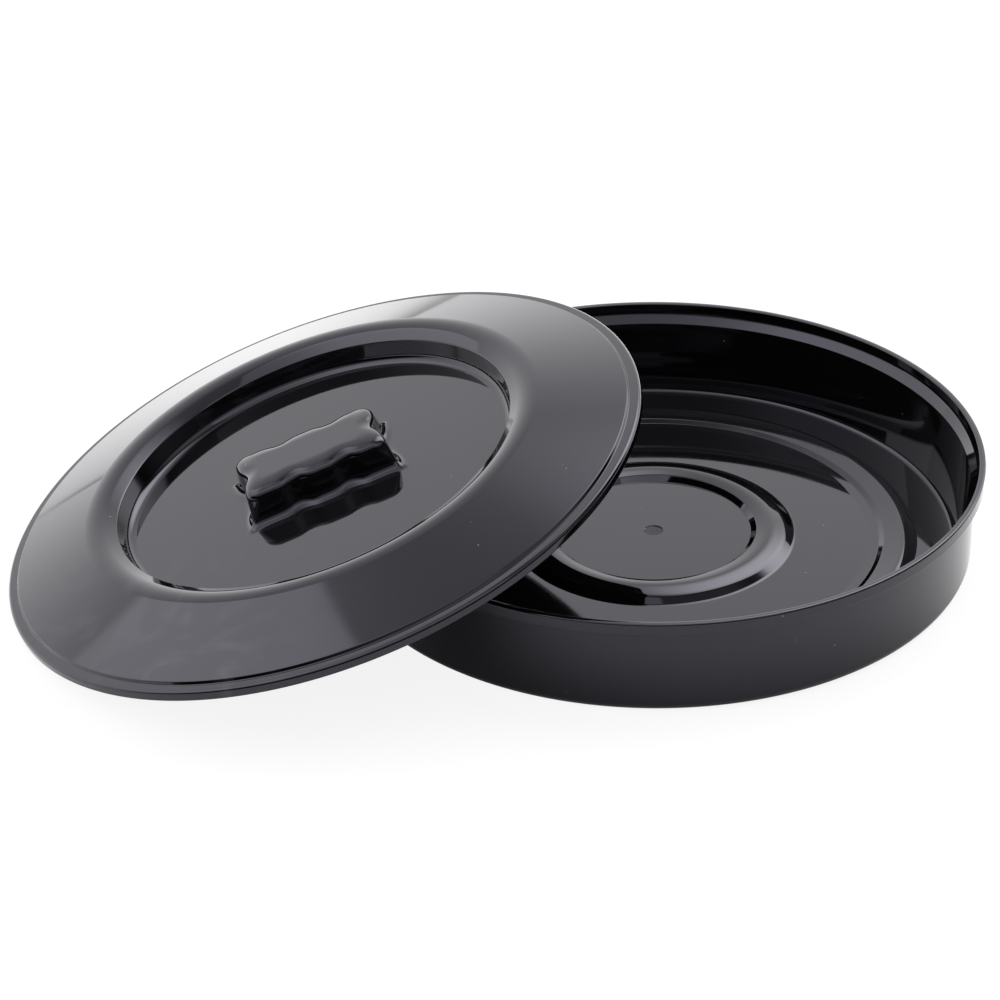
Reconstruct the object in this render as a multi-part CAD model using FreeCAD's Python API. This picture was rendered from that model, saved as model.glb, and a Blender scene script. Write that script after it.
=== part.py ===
import FreeCAD, Part
import math
import os

# ---------------------------------------------------------------------------
# Round covered warmer: a shallow pan with a ringed floor, and a dished lid
# with a hollow fluted grip.  Each is a one-piece moulding.  At rest the pan
# stands on the table and the lid leans on it: the lid's low edge is on the
# table and the underside of its dish lies over the pan's rim.
#
# Frame: the pan's axis is Z, the table is Z = 0, and the lid leans out
# towards -X.  Millimetres.
# ---------------------------------------------------------------------------

# ---- driving sizes ---------------------------------------------------------
outer_r = 100.0          # rim of the pan, and edge of the lid that covers it
pan_h = 31.3             # table to the top of the rim
skin = 2.0               # floor thickness of the pan
lid_t = 2.2              # wall of the lid
lean_deg = 17.35         # tilt of the leaning lid
lean_side = 2.3          # the leaning lid lies this far off the middle, towards -Y
rest_gap = 0.3           # air between the lid's dish and the rim it leans on

# ---- rim of the pan --------------------------------------------------------
land_w = 2.0             # flat top of the rim
step_w = 1.3             # step that the lid's lip drops into
step_h = 2.2
funnel_w = 2.05          # lead-in below the step
funnel_h = 2.9
band_h = 4.1             # band round the outside of the rim
band_w = 2.4             # how far the band stands out from the wall
rim_break = 0.5          # small bevel on the rim's outer edge

# ---- wall of the pan -------------------------------------------------------
draft_out = 0.8          # the outside leans in by this much down to the foot
draft_in = 1.15          # the inside leans in by this much
foot_round = 3.0         # outside bottom edge
well_round = 2.6         # inside bottom edge

# ---- floor of the pan: rings, from the wall to the middle ------------------
terrace_out_r = 77.0     # sloping terrace, outer edge
terrace_in_r = 70.6      # and inner edge
terrace_out_rise = 1.5   # heights above the plain parts of the floor
terrace_in_rise = 0.5
terrace_back_w = 2.6     # width of the slope behind the terrace
riser_w = 1.8            # width of the riser in front of it
bead_out_r = 39.7        # raised bead, outer edge
bead_in_r = 32.1         # and inner edge
bead_rise = 1.95
bead_foot_w = 3.5        # width of the slope outside the bead
bead_toe_w = 2.5         # and inside it
disc_rise = 0.5          # middle disc
gate_r = 3.0             # sprue mark in the middle of the disc
gate_depth = 0.25
gate_bevel = 0.3

# ---- lid: heights are from the top of its outer edge -----------------------
skirt_h = 3.0            # outer edge of the lid
edge_break = 0.4         # small bevel on that edge
ledge_w = 3.7            # narrow ledge inside the edge
ledge_rise = 0.8
crest_r = 68.2           # ridge of the lid
crest_h = 10.1
crest_round = 2.2
brow_r = 62.0            # edge where the ridge drops into the dish
brow_h = 7.7
dish_r = 59.4            # foot of the dish's wall
dish_h = 0.3             # floor of the dish
dish_t = 2.6             # its thickness
dish_round = 2.3
lip_h = 1.6              # lip that drops into the pan's step
lip_t = 1.9
lip_draft = 0.6
lip_clear = 0.65         # lip to step, all round

# ---- grip of the lid -------------------------------------------------------
grip_turn_deg = 6.5      # its length is turned this much from the lean
grip_half_l = 23.4       # at the foot, before the foot's own rounding
grip_half_w = 13.2
grip_corner_foot = 3.0   # corners are tight at the foot
grip_corner_top = 4.4    # and full at the top
grip_h = 11.0            # above the dish floor
grip_draft = 0.14        # inward lean of the walls, per mm of height
grip_top_round = 5.4
grip_foot_round = 2.5
grip_corner_fall = 0.25  # the corners tighten by this share of what the top rounding takes
grip_root = 0.6          # how far the grip is sunk into the dish floor
flute_at = 8.1           # flutes on the long sides, either side of the middle
flute_w = 3.6            # from its middle to where it meets the side
flute_depth = 2.5
end_flute_w = 5.0        # one flute in the middle of each end
end_flute_depth = 2.8
flute_bottom = 0.3       # share of a flute's curve that is its hollow bottom
flute_narrowing = 0.6    # share of its width that a flute loses where it runs out
flute_fade = 0.85        # share of a flute's depth that is lost at the top
flute_foot = 0.5         # share of it that runs out over the foot's rounding
hollow_wall = 2.4        # least thickness round the hollow
hollow_corner = 2.0
hollow_bevel = 2.6       # bevel round the hollow's roof

# ---- sizes that follow from the ones above ---------------------------------
lean = math.radians(lean_deg)
land_in_r = outer_r - land_w
step_in_r = land_in_r - step_w
funnel_in_r = step_in_r - funnel_w
funnel_low_z = pan_h - step_h - funnel_h
band_low_z = pan_h - band_h
wall_out_r = outer_r - band_w
wall_in_foot_r = funnel_in_r - draft_in
lip_out_r = land_in_r - lip_clear
lip_low_h = -skirt_h - lip_h
ledge_in_r = outer_r - ledge_w

# ---- how finely curved outlines are drawn ----------------------------------
chord_turn = math.radians(45)    # most that one chord of a rounding turns
foot_stations = (30, 90)         # degrees round the grip's foot rounding
top_stations = (0, 50, 90)       # and round its top rounding

AXIS_POINT = FreeCAD.Vector(0, 0, 0)
UP = FreeCAD.Vector(0, 0, 1)


def unit(a, b):
    """Unit vector from a to b in the outline's plane."""
    dx = b[0] - a[0]
    dz = b[1] - a[1]
    size = math.hypot(dx, dz)
    return dx / size, dz / size


def rounded(before, corner, after, radius):
    """Points along the arc that rounds one corner, close enough for its chords to stand for it."""
    u = unit(corner, before)
    v = unit(corner, after)
    half = 0.5 * math.acos(u[0] * v[0] + u[1] * v[1])
    away = radius / math.sin(half) / math.hypot(u[0] + v[0], u[1] + v[1])
    centre = (corner[0] + (u[0] + v[0]) * away, corner[1] + (u[1] + v[1]) * away)
    reach = radius / math.tan(half)
    spoke = (corner[0] + u[0] * reach - centre[0], corner[1] + u[1] * reach - centre[1])
    sweep = math.copysign(math.pi - 2 * half, u[1] * v[0] - u[0] * v[1])
    chords = math.ceil(abs(sweep) / chord_turn)
    points = []
    for i in range(chords + 1):
        a = sweep * i / chords
        x = centre[0] + spoke[0] * math.cos(a) - spoke[1] * math.sin(a)
        z = centre[1] + spoke[0] * math.sin(a) + spoke[1] * math.cos(a)
        points.append((x, z))
    return points


def turned(corners):
    """Solid of revolution about Z; a corner is (radius, height) or (radius, height, rounding)."""
    path = []
    for i, here in enumerate(corners):
        if len(here) == 3:
            after = corners[(i + 1) % len(corners)]
            path.extend(rounded(corners[i - 1], here, after, here[2]))
        else:
            path.append(here)
    outline = [FreeCAD.Vector(radius, 0, height) for radius, height in path]
    face = Part.Face(Part.makePolygon(outline + outline[:1]))
    return face.revolve(AXIS_POINT, UP, 360)


def height_on(a, b, radius):
    """Height at a radius on the straight line through a and b."""
    return a[1] + (b[1] - a[1]) * (radius - a[0]) / (b[0] - a[0])


# ---- pan -------------------------------------------------------------------
def bead():
    """Raised bead round the middle disc as (radius, rise above the plain parts), outwards."""
    return [
        (bead_in_r - bead_toe_w, disc_rise),
        (bead_in_r, bead_rise),
        (bead_out_r, bead_rise),
        (bead_out_r + bead_foot_w, 0.0),
    ]


def terrace():
    """Sloping terrace near the wall as (radius, rise above the plain parts), outwards."""
    return [
        (terrace_in_r - riser_w, 0.0),
        (terrace_in_r, terrace_in_rise),
        (terrace_out_r, terrace_out_rise),
        (terrace_out_r + terrace_back_w, 0.0),
    ]


def pan_under():
    """Corners of the underside, from the axis to the foot; the terrace shows only inside."""
    return [(0.0, disc_rise)] + bead() + [(wall_out_r - draft_out, 0.0, foot_round)]


def pan_rim():
    """Corners from the top of the outer wall, over the rim, to the inner wall."""
    return [
        (wall_out_r, band_low_z),
        (outer_r, band_low_z),
        (outer_r, pan_h - rim_break),
        (outer_r - rim_break, pan_h),
        (land_in_r, pan_h),
        (step_in_r, pan_h - step_h),
        (funnel_in_r, funnel_low_z),
    ]


def pan_floor():
    """Corners of the floor's upper side, from the wall to the axis."""
    rings = [(radius, skin + rise) for radius, rise in reversed(bead() + terrace())]
    gate = [
        (gate_r, skin + disc_rise),
        (gate_r - gate_bevel, skin + disc_rise - gate_depth),
        (0.0, skin + disc_rise - gate_depth),
    ]
    return [(wall_in_foot_r, skin, well_round)] + rings + gate


def make_pan():
    """The pan: ringed floor, tapered wall and stepped rim in one moulding."""
    return turned(pan_under() + pan_rim() + pan_floor())


# ---- lid -------------------------------------------------------------------
def lid_upper():
    """Corners of the lid's upper side, from the outer edge to the axis."""
    return [
        (outer_r, -edge_break),
        (outer_r - edge_break, 0.0),
        (ledge_in_r, ledge_rise),
        (crest_r, crest_h, crest_round),
        (brow_r, brow_h),
        (dish_r, dish_h, dish_round),
        (0.0, dish_h),
    ]


def lid_under():
    """Corners of the lid's underside, from the axis to the outer edge."""
    flange_slope = math.atan2(crest_h - ledge_rise, ledge_in_r - crest_r)
    flange_drop = lid_t / math.cos(flange_slope)
    crest = (crest_r, crest_h - flange_drop)
    ledge = (ledge_in_r, ledge_rise - flange_drop)
    brow = (brow_r, brow_h - flange_drop)
    throat_r = brow_r + lid_t
    root_r = lip_out_r - lip_t
    return [
        (0.0, dish_h - dish_t),
        (dish_r + lid_t, dish_h - dish_t),
        (throat_r, height_on(brow, crest, throat_r)),
        crest,
        (root_r, height_on(crest, ledge, root_r)),
        (root_r - lip_draft, lip_low_h),
        (lip_out_r - lip_draft, lip_low_h),
        (lip_out_r, -skirt_h),
        (outer_r, -skirt_h),
    ]


def flute(place, half_w, depth):
    """Three arcs of a flute across a side, as (along, inward) triples: shoulder, bottom, shoulder."""
    turn = 2 * math.atan(depth / half_w)
    both = half_w / math.sin(turn)
    bottom = flute_bottom * both
    shoulder = both - bottom

    def on_shoulder(side, share):
        a = share * turn
        return place + side * (half_w - shoulder * math.sin(a)), shoulder * (1 - math.cos(a))

    lowest = (place, depth)
    return [
        (on_shoulder(-1, 0.0), on_shoulder(-1, 0.5), on_shoulder(-1, 1.0)),
        (on_shoulder(-1, 1.0), lowest, on_shoulder(1, 1.0)),
        (on_shoulder(1, 1.0), on_shoulder(1, 0.5), on_shoulder(1, 0.0)),
    ]


def grip_side(half, reach, corner, flutes):
    """One side of the outline and the corner after it, as if the side faced +X."""
    runs = []
    spot = (reach, -half)
    for place, half_w, depth in flutes:
        for arc in flute(place, half_w, depth):
            points = [(reach - inward, along) for along, inward in arc]
            if points[0] != spot:
                runs.append((spot, points[0]))
            runs.append(tuple(points))
            spot = points[-1]
    runs.append((spot, (reach, half)))
    low = corner * math.sin(math.pi / 4)
    runs.append((
        (reach, half),
        (reach - corner + low, half + low),
        (reach - corner, half + corner),
    ))
    return runs


def grip_outline(inset, corner, share, height):
    """Closed wire: an oblong shrunk by the inset, with a share of the flutes' depth."""
    half_l = grip_half_l - inset
    half_w = grip_half_w - inset
    spread = 1 - flute_narrowing * (1 - share)
    end = [(0.0, spread * end_flute_w, share * end_flute_depth)]
    long = [(place, spread * flute_w, share * flute_depth) for place in (-flute_at, flute_at)]
    edges = []
    for quarter in range(4):
        if quarter % 2 == 0:
            runs = grip_side(half_w - corner, half_l, corner, end)
        else:
            runs = grip_side(half_l - corner, half_w, corner, long)
        turn = math.degrees(0.5 * math.pi * quarter)
        for run in runs:
            points = [FreeCAD.Vector(x, y, height) for x, y in run]
            edge = Part.Arc(*points) if len(run) == 3 else Part.LineSegment(*points)
            edges.append(edge.toShape().rotated(AXIS_POINT, UP, turn))
    return Part.Wire(edges)


def grip_foot():
    """Wires of the foot: its root in the dish floor, then its rounding."""
    wires = []
    for deg in foot_stations:
        a = math.radians(deg)
        out = grip_foot_round * (1 - math.sin(a))
        up = grip_foot_round * (1 - math.cos(a))
        share = flute_foot + (1 - flute_foot) * math.sin(a)
        if not wires:
            wires.append(grip_outline(-out - grip_root, grip_corner_foot, share, up - grip_root))
        wires.append(grip_outline(-out, grip_corner_foot, share, up))
    return wires


def grip_top():
    """Wires of the top rounding, from the walls' upper edge to the flat top."""
    shoulder = grip_h - grip_top_round
    lean_in = (shoulder - grip_foot_round) * grip_draft
    wires = []
    for deg in top_stations:
        a = math.radians(deg)
        shrink = grip_top_round * (1 - math.cos(a))
        corner = grip_corner_top - grip_corner_fall * shrink
        share = 1.0 - flute_fade * math.sin(a)
        height = shoulder + grip_top_round * math.sin(a)
        wires.append(grip_outline(lean_in + shrink, corner, share, height))
    return wires


def rounded_oblong(half_l, half_w, corner, height):
    """Wire of a rectangle with round corners."""
    sides = []
    for sx, sy, deg in ((1, 1, 0), (-1, 1, 90), (-1, -1, 180), (1, -1, 270)):
        centre = FreeCAD.Vector(sx * (half_l - corner), sy * (half_w - corner), height)
        circle = Part.Circle(centre, UP, corner)
        start = math.radians(deg)
        sides.append(Part.ArcOfCircle(circle, start, start + 0.5 * math.pi).toShape())
    wire = []
    for i, arc in enumerate(sides):
        wire.append(arc)
        after = sides[(i + 1) % 4]
        wire.append(Part.LineSegment(arc.lastVertex().Point, after.firstVertex().Point).toShape())
    return Part.Wire(wire)


def make_hollow():
    """Space inside the grip, open downwards."""
    half_l = grip_half_l - end_flute_depth - hollow_wall
    half_w = grip_half_w - flute_depth - hollow_wall
    roof = grip_h - hollow_wall
    low = -dish_t - hollow_bevel
    waist = roof - hollow_bevel
    wires = [
        rounded_oblong(half_l, half_w, hollow_corner, low),
        rounded_oblong(half_l, half_w, hollow_corner, waist),
        rounded_oblong(half_l - hollow_bevel, half_w - hollow_bevel, hollow_corner, roof),
    ]
    return Part.makeLoft(wires, True, True)


def make_lid():
    """The lid: edge, flange, crest, dish and hollow grip in one moulding."""
    shell = turned(lid_under() + lid_upper())
    grip = Part.makeLoft(grip_foot() + grip_top(), True, True)
    hollow = make_hollow()
    for shape in (grip, hollow):
        shape.translate(FreeCAD.Vector(0, 0, dish_h))
        shape.rotate(AXIS_POINT, UP, grip_turn_deg)
    return shell.fuse(grip).cut(hollow)


def lid_centre_height():
    """Height of the lid's centre with its lowest edge, the lip's, on the table."""
    return (lip_out_r - lip_draft) * math.sin(lean) - lip_low_h * math.cos(lean)


def lid_centre_offset():
    """How far out the lid's centre lies when its dish clears the rim's edge."""
    edge_up = pan_h - lid_centre_height()
    reach = edge_up * math.cos(lean) + dish_t - dish_h + rest_gap
    return outer_r - rim_break + reach / math.sin(lean)


def lean_lid(lid):
    """Tip the lid and set it down against the pan."""
    lid.rotate(AXIS_POINT, FreeCAD.Vector(0, 1, 0), -lean_deg)
    lid.translate(FreeCAD.Vector(-lid_centre_offset(), -lean_side, lid_centre_height()))
    return lid


def main():
    os.makedirs("parts", exist_ok=True)
    nodes = {
        "pan": make_pan(),
        "lid": lean_lid(make_lid()),
    }
    for name, shape in nodes.items():
        if not shape.isValid() or len(shape.Solids) != 1:
            raise RuntimeError(name + " is not one valid solid")
        shape.Solids[0].exportStep("parts/" + name + ".step")


main()
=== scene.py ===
import math

import bmesh
import bpy
from bpy.props import FloatProperty, FloatVectorProperty, PointerProperty
from bpy.types import Operator, Panel, PropertyGroup
from mathutils import Matrix, Vector


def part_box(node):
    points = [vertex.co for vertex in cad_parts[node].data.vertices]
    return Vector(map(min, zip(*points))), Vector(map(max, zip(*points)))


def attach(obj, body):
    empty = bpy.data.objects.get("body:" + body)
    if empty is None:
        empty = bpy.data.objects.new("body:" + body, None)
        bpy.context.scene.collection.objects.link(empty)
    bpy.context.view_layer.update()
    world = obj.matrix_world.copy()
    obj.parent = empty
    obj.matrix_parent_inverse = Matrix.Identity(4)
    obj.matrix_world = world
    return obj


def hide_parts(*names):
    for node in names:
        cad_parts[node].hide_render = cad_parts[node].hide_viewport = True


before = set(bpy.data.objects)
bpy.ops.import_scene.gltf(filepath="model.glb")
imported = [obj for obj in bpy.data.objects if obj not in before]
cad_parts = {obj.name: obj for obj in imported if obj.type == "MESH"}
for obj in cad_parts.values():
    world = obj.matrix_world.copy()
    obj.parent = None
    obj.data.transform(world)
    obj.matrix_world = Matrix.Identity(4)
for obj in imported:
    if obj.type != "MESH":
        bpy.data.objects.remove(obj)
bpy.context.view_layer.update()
PAN_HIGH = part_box("pan")[1]

bl_info = {
    "name": "Tortilla warmer",
    "version": (1, 0, 0),
    "blender": (4, 5, 0),
    "location": "View3D > Sidebar > Warmer",
    "description": "Models a round covered warmer of glossy black plastic, and the stage it stands on",
    "category": "Object",
}

MM = 0.001
TURN_STEPS = 288                    # faces round the pan, the lid and the grip
ARC_STEP = math.radians(7.5)        # most that one face of a rounding turns
MERGE = 0.0005 * MM
SAME_LEVEL = 0.01 * MM              # how far from a height a flat loop's spots may lie
SHARP_ANGLE = math.radians(35)      # edges that turn more than this stay sharp
FLAT_WEIGHT = 50                    # how much a large face counts in the shading of its corners


# ---- settings ---------------------------------------------------------------
def length(label, about, size_mm):
    """A length in metres, given here in millimetres."""
    return FloatProperty(name=label, description=about, default=size_mm * MM,
                         precision=5, subtype="DISTANCE", unit="LENGTH")


def angle(label, about, degrees):
    """An angle, given here in degrees."""
    return FloatProperty(name=label, description=about, default=math.radians(degrees),
                         subtype="ANGLE", unit="ROTATION")


def share(label, about, value):
    """A plain number from nought to one."""
    return FloatProperty(name=label, description=about, default=value,
                         min=0.0, max=1.0, subtype="FACTOR")


def level(label, about, value):
    """A plain number of any size."""
    return FloatProperty(name=label, description=about, default=value, min=0.0)


class PanSizes(PropertyGroup):
    """Sizes of the pan."""
    rim_r: length("Rim radius", "Outside of the rim", PAN_HIGH.x / MM)
    height: length("Height", "Table to the top of the rim", PAN_HIGH.z / MM)
    skin: length("Floor", "Thickness of the floor", 2.0)
    crown_w: length("Rim crown", "Width of the rim's softly crowned top", 2.0)
    crown_rise: length("Rim crown rise", "How far its middle stands above its edges", 0.25)
    step_h: length("Step height", "Depth of the step that the lid's lip drops into", 3.4)
    funnel_w: length("Lead-in width", "Slope below the step", 2.3)
    funnel_h: length("Lead-in height", "Depth of that slope", 2.85)
    band_h: length("Band height", "Band round the outside of the rim", 4.1)
    band_w: length("Band depth", "How far the band stands out from the wall", 2.4)
    draft_out: length("Outer draft", "How far the outside leans in down to the foot", 0.8)
    draft_in: length("Inner draft", "How far the inside leans in down to the floor", 3.5)
    foot_round: length("Foot rounding", "Outside bottom edge", 3.0)
    well_round: length("Well rounding", "Inside bottom edge", 1.7)
    gutter_drop: length("Gutter", "How far the gutter by the wall lies below the floor", 0.4)
    terrace_r: length("Terrace edge", "Radius of the terrace's outer edge", 77.3)
    terrace_rise: length("Terrace rise", "Height of that edge above the floor", 1.95)
    terrace_back_w: length("Terrace back", "Width of the slope behind the terrace", 3.0)
    riser_r: length("Riser", "Top of the riser in front of the terrace", 70.6)
    riser_w: length("Riser width", "Width of the riser", 1.6)
    riser_rise: length("Riser rise", "Height of its top above the floor", 1.0)
    apron_w: length("Apron", "Width of the gentle slope before the riser", 2.9)
    apron_rise: length("Apron rise", "Height that the slope gains", 0.15)
    bead_in_r: length("Bead inside", "Foot of the bead's steep inner side", 29.9)
    bead_toe_w: length("Bead toe", "Width of that side", 1.8)
    bead_toe_h: length("Bead toe height", "Height of that side's top above the floor", 2.15)
    bead_top_r: length("Bead top", "Radius of the bead's highest line", 35.6)
    bead_rise: length("Bead rise", "Height of the bead above the floor", 2.9)
    bead_brow_r: length("Bead brow", "Where its outer side turns steeper", 40.3)
    bead_brow_h: length("Bead brow height", "Height of that turn above the floor", 1.8)
    bead_out_r: length("Bead outside", "Outer foot of the bead", 43.3)
    disc_rise: length("Disc rise", "Height of the middle disc above the floor", 0.5)
    gate_r: length("Sprue mark", "Radius of the mark in the middle of the disc", 3.0)
    gate_depth: length("Sprue mark depth", "How deep the mark lies", 0.25)
    gate_bevel: length("Sprue mark bevel", "Width of the slope down to the mark", 0.3)
    gate_round: length("Sprue mark rounding", "Both edges of that slope", 0.1)
    band_slope: length("Band slope", "How far the band's lower side rises outwards", 0.15)
    band_root_round: length("Band root rounding", "Where the band meets the wall", 0.4)
    band_round: length("Band rounding", "Lower outer edge of the band", 0.35)
    rim_round: length("Rim rounding", "Outer edge of the rim's top", 0.6)
    crown_round: length("Crown rounding", "Middle of the rim's crown", 3.0)
    crown_in_round: length("Crown inner rounding", "Inner edge of the crown", 0.35)
    step_round: length("Step rounding", "Foot of the step", 2.2)
    funnel_round: length("Lead-in rounding", "Where the lead-in meets the inner wall", 0.35)
    terrace_back_round: length("Terrace back rounding", "Where the gutter meets the terrace's back", 1.5)
    terrace_round: length("Terrace rounding", "Terrace's outer edge", 3.5)
    riser_round: length("Riser rounding", "Top of the riser", 0.8)
    riser_foot_round: length("Riser foot rounding", "Foot of the riser", 0.6)
    apron_round: length("Apron rounding", "Where the apron leaves the floor", 12.0)
    bead_foot_round: length("Bead foot rounding", "Outer foot of the bead", 2.2)
    bead_brow_round: length("Bead brow rounding", "Turn of its outer side", 5.0)
    bead_top_round: length("Bead top rounding", "Highest line of the bead", 10.0)
    bead_toe_round: length("Bead toe rounding", "Top of its steep inner side", 1.0)
    disc_round: length("Disc rounding", "Where the bead meets the middle disc", 0.4)
    under_bead_w: length("Under-bead slope", "Inner slope of the hollow under the bead", 2.5)
    under_bead_h: length("Under-bead height", "Height of that hollow above the table", 1.9)
    under_bead_round: length("Under-bead rounding", "Upper edges of that hollow", 0.8)
    under_foot_round: length("Under-bead foot rounding", "Outer foot of that hollow", 0.6)


class LidSizes(PropertyGroup):
    """Sizes of the lid; heights are from the top of its outer edge."""
    edge_r: length("Edge radius", "Outer edge", 100.0)
    skirt_h: length("Skirt", "Height of the outer edge", 3.0)
    wall: length("Wall", "Thickness of the flange and the dish's wall", 2.2)
    ledge_w: length("Ledge width", "Narrow ledge inside the edge", 3.7)
    ledge_rise: length("Flange edge height", "Height of the flange where it drops to the ledge", 1.05)
    ledge_step_w: length("Ledge step width", "Width of that drop", 0.5)
    ledge_step_h: length("Ledge step", "Height of that drop", 0.9)
    crest_r: length("Crest radius", "Ridge of the lid", 68.2)
    crest_h: length("Crest height", "Height of the ridge", 10.1)
    crest_round: length("Crest rounding", "Rounding of the ridge", 9.0)
    brow_r: length("Brow radius", "Edge where the ridge drops into the dish", 62.0)
    brow_h: length("Brow height", "Height of that edge", 7.0)
    brow_round: length("Brow rounding", "Rounding of that edge", 0.8)
    dish_r: length("Dish radius", "Foot of the dish's wall", 60.7)
    dish_h: length("Dish height", "Floor of the dish", 0.3)
    dish_t: length("Dish thickness", "Thickness of that floor", 2.6)
    dish_round: length("Dish rounding", "Rounding at the foot of its wall", 2.9)
    lip_out_r: length("Lip radius", "Outside of the lip that drops into the pan", 97.35)
    lip_h: length("Lip height", "How far the lip reaches below the skirt", 1.6)
    lip_t: length("Lip thickness", "Thickness of the lip", 1.9)
    lip_draft: length("Lip draft", "How far the lip leans in", 0.6)
    ledge_round: length("Ledge rounding", "Where the flange drops to the ledge", 0.5)
    ledge_foot_round: length("Ledge foot rounding", "Foot of that drop", 0.4)
    edge_round: length("Edge rounding", "Top of the outer edge", 1.1)
    skirt_round: length("Skirt rounding", "Bottom of the outer edge", 0.4)
    lip_root_round: length("Lip root rounding", "Where the lip leaves the skirt", 0.2)
    lip_round: length("Lip rounding", "Both lower edges of the lip", 0.5)
    lip_in_round: length("Lip inner rounding", "Where the lip meets the flange inside", 0.6)
    under_crest_round: length("Under-crest rounding", "Underside of the ridge", 1.0)
    throat_round: length("Throat rounding", "Underside where the ridge drops to the dish", 0.8)
    under_round: length("Under-dish rounding", "Lower edge of the dish", 1.8)
    lean: angle("Lean", "Tilt of the lid against the pan", 17.35)
    centre_x: length("Place along", "Centre of the leaning lid", -102.0018)
    centre_y: length("Place across", "Centre of the leaning lid", -2.3)
    centre_z: length("Place up", "Centre of the leaning lid", 33.2423)


class GripSizes(PropertyGroup):
    """Sizes of the lid's fluted grip; heights are from the dish floor."""
    turn: angle("Turn", "How far its length is turned from the lean", 5.4)
    half_l: length("Half length", "At the foot, before the foot's rounding", 22.9)
    half_w: length("Half width", "At the foot, before the foot's rounding", 13.2)
    corner_foot: length("Corner at the foot", "Rounding of the corners low down", 1.6)
    corner_top: length("Corner at the top", "Rounding of the corners higher up", 3.8)
    corner_fall: share("Corner fall", "Share of the inset at the top that tightens the corners", 0.2)
    height: length("Height", "Above the dish floor", 11.0)
    draft: share("Draft", "Inward lean of the walls per unit of height", 0.14)
    shoulder: length("Shoulder", "Rounding where the walls turn into the top", 2.9)
    crown: length("Crown", "Much larger rounding from there over the top", 13.0)
    cap_rim: length("Cap rim", "Level rim of the flat top", 0.4)
    crown_turn: angle("Crown turn", "Slope where the two roundings meet", 20.0)
    foot_round: length("Foot rounding", "Rounding into the dish floor", 3.0)
    flute_at: length("Flute place", "Flutes on the long sides, either side of the middle", 7.9)
    flute_shift: length("Flute shift", "How far both are shifted towards the high end", 0.5)
    flute_w: length("Flute half width", "From its middle to where it meets the side", 6.2)
    flute_depth: length("Flute depth", "Depth of the flutes on the long sides", 1.35)
    end_flute_w: share("End flute width", "Share of the straight end that its flute takes", 0.94)
    end_flute_depth: length("End flute depth", "Depth of the flutes on the ends", 2.8)
    flute_bottom: share("Flute bottom", "Share of a flute's curve that is its hollow bottom", 0.45)
    flute_fade: share("Flute fade", "Share of its depth that a flute loses at the top", 0.75)
    end_fade: share("End flute fade", "Share that the end flutes lose up to where the top begins", 0.4)
    flute_foot: share("Flute foot", "Share of its depth that a flute keeps at the very foot", 0.5)
    hollow_wall: length("Hollow wall", "Least thickness round the hollow", 2.4)
    hollow_corner: length("Hollow corner", "Corners of the hollow", 2.0)
    hollow_round: length("Hollow rounding", "Rounding round the hollow's roof", 2.6)
    hollow_mouth: length("Hollow mouth", "Rounding of the hollow's lower edge", 0.4)


class Finish(PropertyGroup):
    """Look of the black plastic."""
    colour: FloatVectorProperty(name="Colour", description="Colour of the plastic", size=3,
                                subtype="COLOR", default=(0.002, 0.002, 0.0022))
    dust_colour: FloatVectorProperty(name="Dust", description="Colour of the dust specks", size=3,
                                     subtype="COLOR", default=(0.16, 0.16, 0.165))
    gloss: share("Roughness", "Roughness of the polished faces", 0.03)
    haze: share("Haze", "Further roughness where the flow of the plastic shows", 0.04)
    tint: FloatVectorProperty(name="Tint", description="Tint of its reflections", size=3,
                              subtype="COLOR", default=(0.85, 0.83, 1.0))
    mark_colour: FloatVectorProperty(name="Flow marks", description="Colour of the faint flow marks",
                                     size=3, subtype="COLOR", default=(0.022, 0.022, 0.023))
    gate_margin: length("Gate margin", "Polished edge left round the dull sprue mark", 0.1)
    gate_fade: length("Gate fade", "Width over which the dullness ends", 0.3)
    gate_dull: share("Gate dullness", "Roughness of the sprue mark", 0.55)
    index: level("Index", "Refractive index of the plastic", 1.5)
    ripple: length("Ripple", "Height of the slow waves in the surface", 0.02)
    grain: length("Grain", "Height of the fine skin on the surface", 0.0006)


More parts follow.
